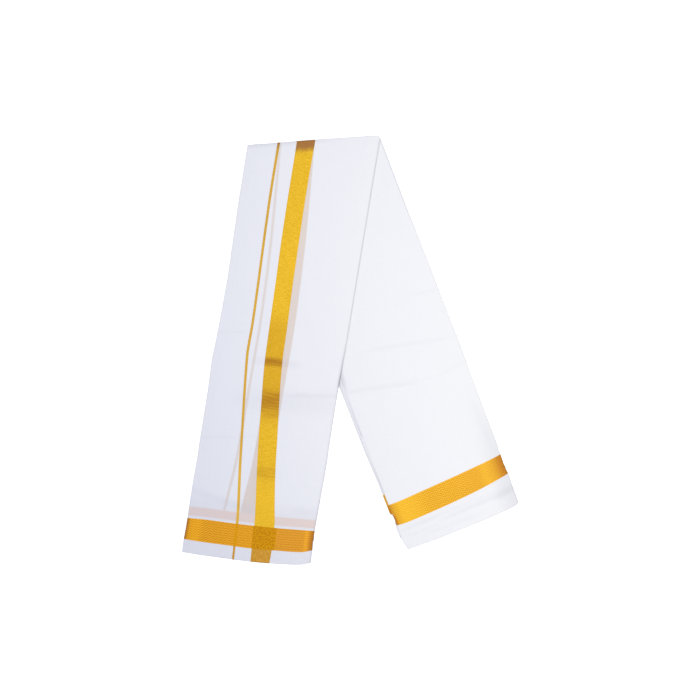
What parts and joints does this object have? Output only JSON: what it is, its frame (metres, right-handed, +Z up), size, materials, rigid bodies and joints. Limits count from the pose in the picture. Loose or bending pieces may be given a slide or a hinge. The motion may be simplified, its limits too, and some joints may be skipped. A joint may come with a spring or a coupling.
{
  "type": "angavastram",
  "caption": "White cotton angavastram with gold zari lines and end bands, folded lengthwise, folded once across and laid flat as an upside-down V.",
  "frame": {"origin": "middle of the footprint on the surface that the folded cloth lies on", "axes": "+Y towards the crease, away from the cut ends; +X towards the back leg's cut end; +Z up off the surface, towards the viewer"},
  "size_m": [0.8074, 1.0237, 0.0077],
  "materials": {
    "cotton": "fine plain-woven white cotton with woven gold zari"
  },
  "bodies": {
    "root": {"front_leg_face": "cotton", "front_leg_layers": "cotton", "back_leg_face": "cotton", "back_leg_layers": "cotton", "crease_turn": "cotton", "crease_core": "cotton"}
  },
  "joints": []
}
